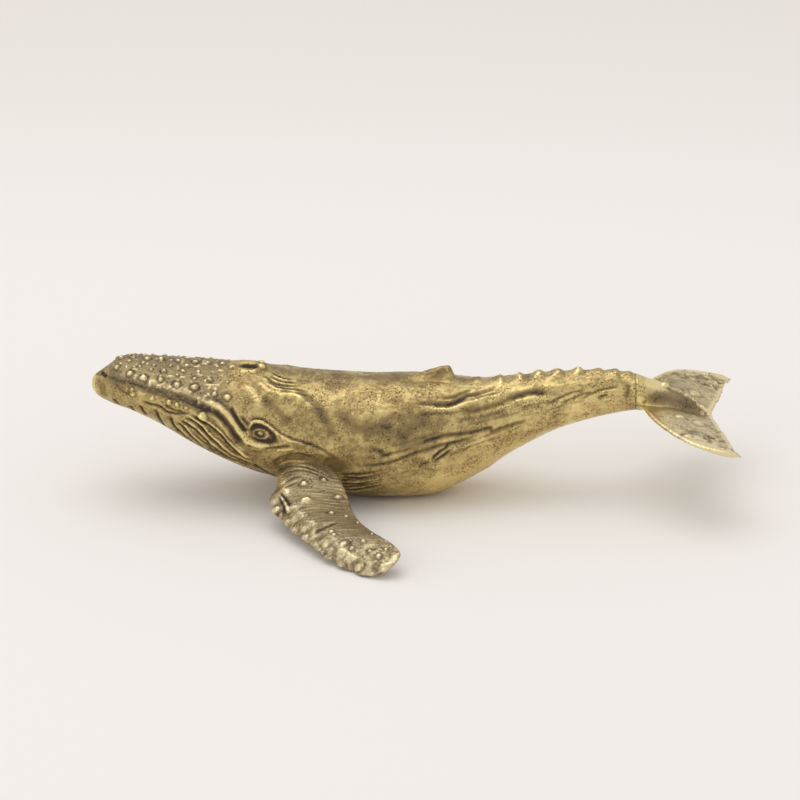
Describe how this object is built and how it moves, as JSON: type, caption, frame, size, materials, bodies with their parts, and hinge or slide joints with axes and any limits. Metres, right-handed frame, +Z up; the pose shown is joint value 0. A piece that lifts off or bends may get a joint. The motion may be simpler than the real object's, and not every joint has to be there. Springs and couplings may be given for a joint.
{
  "type": "whale figurine",
  "caption": "Solid brass humpback whale ornament that lies on its belly with flippers spread and head and tail raised.",
  "frame": {"origin": "on the flat under the belly, half way between the nose and the fluke tips", "axes": "+X towards the tail, -X towards the nose, -Y the port side, +Z up from the surface it rests on"},
  "size_m": [0.16, 0.114, 0.0359],
  "materials": {
    "aged_brass": "cast, darkened in the recesses and polished on the high points",
    "hard_solder": "silver-brass hard solder, as flowed"
  },
  "bodies": {
    "root": {"body": "aged_brass", "port_flipper": "aged_brass", "starboard_flipper": "aged_brass", "tail_flukes": "aged_brass", "port_flipper_solder": "hard_solder", "starboard_flipper_solder": "hard_solder", "tail_flukes_solder": "hard_solder"}
  },
  "joints": []
}
